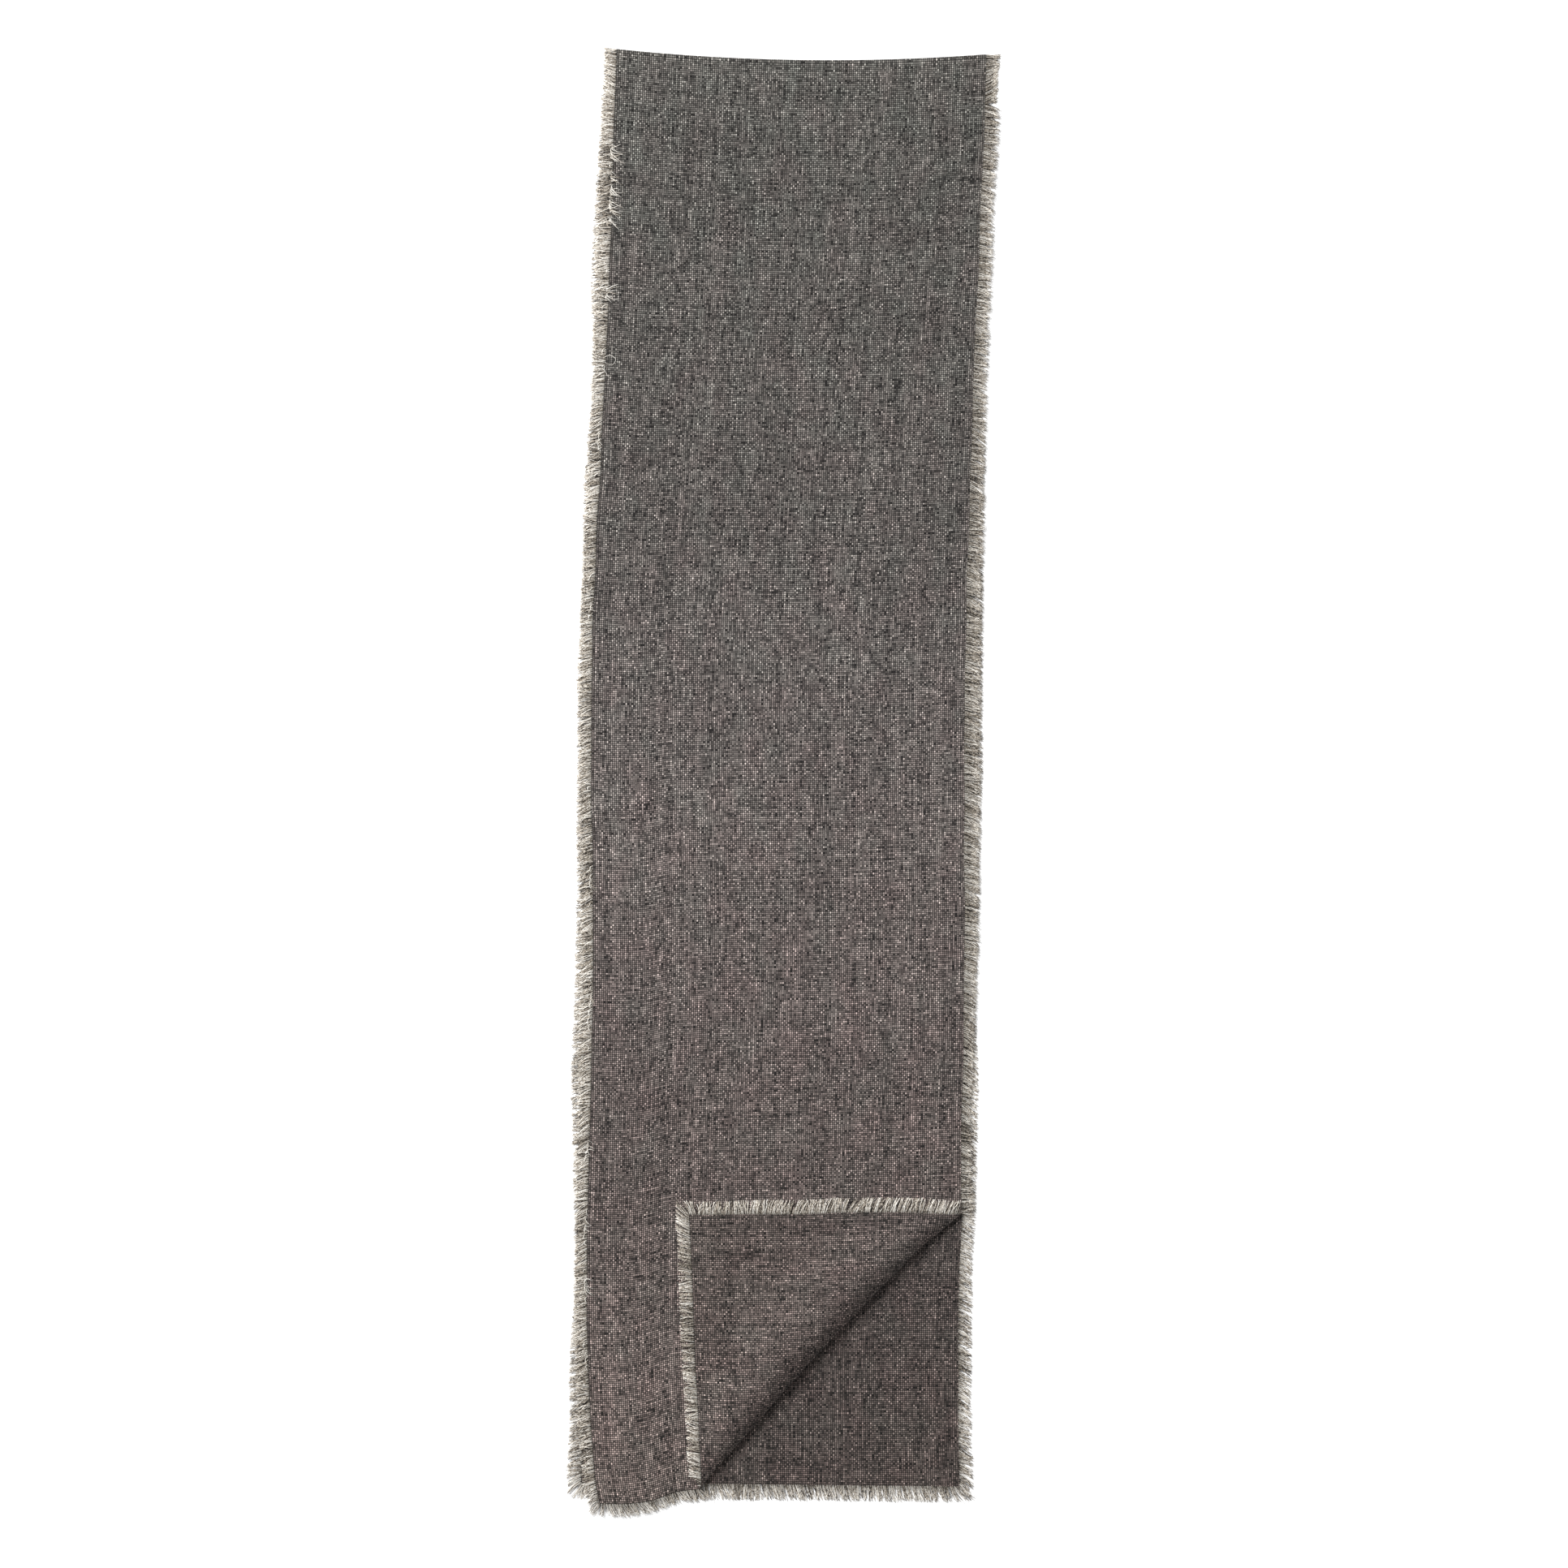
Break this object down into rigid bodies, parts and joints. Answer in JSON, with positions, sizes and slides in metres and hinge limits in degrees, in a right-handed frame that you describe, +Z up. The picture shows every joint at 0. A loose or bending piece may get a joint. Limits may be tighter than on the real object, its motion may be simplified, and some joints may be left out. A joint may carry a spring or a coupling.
{
  "type": "table runner",
  "caption": "Long narrow table runner of slubby plain-woven linen with frayed fringed edges, folded across its length, one corner of the upper layer turned back.",
  "frame": {"origin": "centre of the bounding box, on the surface that the runner lies on", "axes": "+Y along the runner towards the half fold, +X towards the side whose corner is turned back, +Z up"},
  "size_m": [0.3877, 1.3944, 0.0152],
  "materials": {
    "woven_cloth": "matt slubby plain weave",
    "fringe_yarn": "matt loose yarn",
    "sewing_thread": "matt spun thread"
  },
  "bodies": {
    "lower_half": {"lower_cloth": "woven_cloth", "half_fold_roll": "woven_cloth", "half_fold_fringe_left": "fringe_yarn", "half_fold_fringe_right": "fringe_yarn", "lower_fringe_left": "fringe_yarn", "lower_fringe_right": "fringe_yarn", "lower_fringe_end": "fringe_yarn", "lower_needle_thread": "sewing_thread", "lower_bobbin_thread": "sewing_thread"},
    "upper_half": {"upper_cloth": "woven_cloth", "corner_fold_roll": "woven_cloth", "corner_fold_fringe_side": "fringe_yarn", "corner_fold_fringe_end": "fringe_yarn", "upper_fringe_left": "fringe_yarn", "upper_fringe_right": "fringe_yarn", "upper_fringe_end": "fringe_yarn", "upper_needle_thread": "sewing_thread", "upper_bobbin_thread": "sewing_thread"},
    "corner": {"corner_cloth": "woven_cloth", "corner_fringe_side": "fringe_yarn", "corner_fringe_end": "fringe_yarn", "corner_needle_thread": "sewing_thread", "corner_bobbin_thread": "sewing_thread"}
  },
  "joints": [
    {"name": "half_fold", "type": "hinge", "parent": "lower_half", "child": "upper_half", "pos_m": [0, 0.695, 0.0022], "axis": [-1, 0, 0], "range_deg": [0, 179.8], "deforming": ["half_fold_roll", "half_fold_fringe_left", "half_fold_fringe_right"]},
    {"name": "corner_fold", "type": "hinge", "parent": "upper_half", "child": "corner", "pos_m": [0.05219, -0.53166, 0.0046], "axis": [0.6756, 0.7373, 0], "range_deg": [0, 179.8], "deforming": ["corner_fold_roll", "corner_fold_fringe_side", "corner_fold_fringe_end"]}
  ]
}
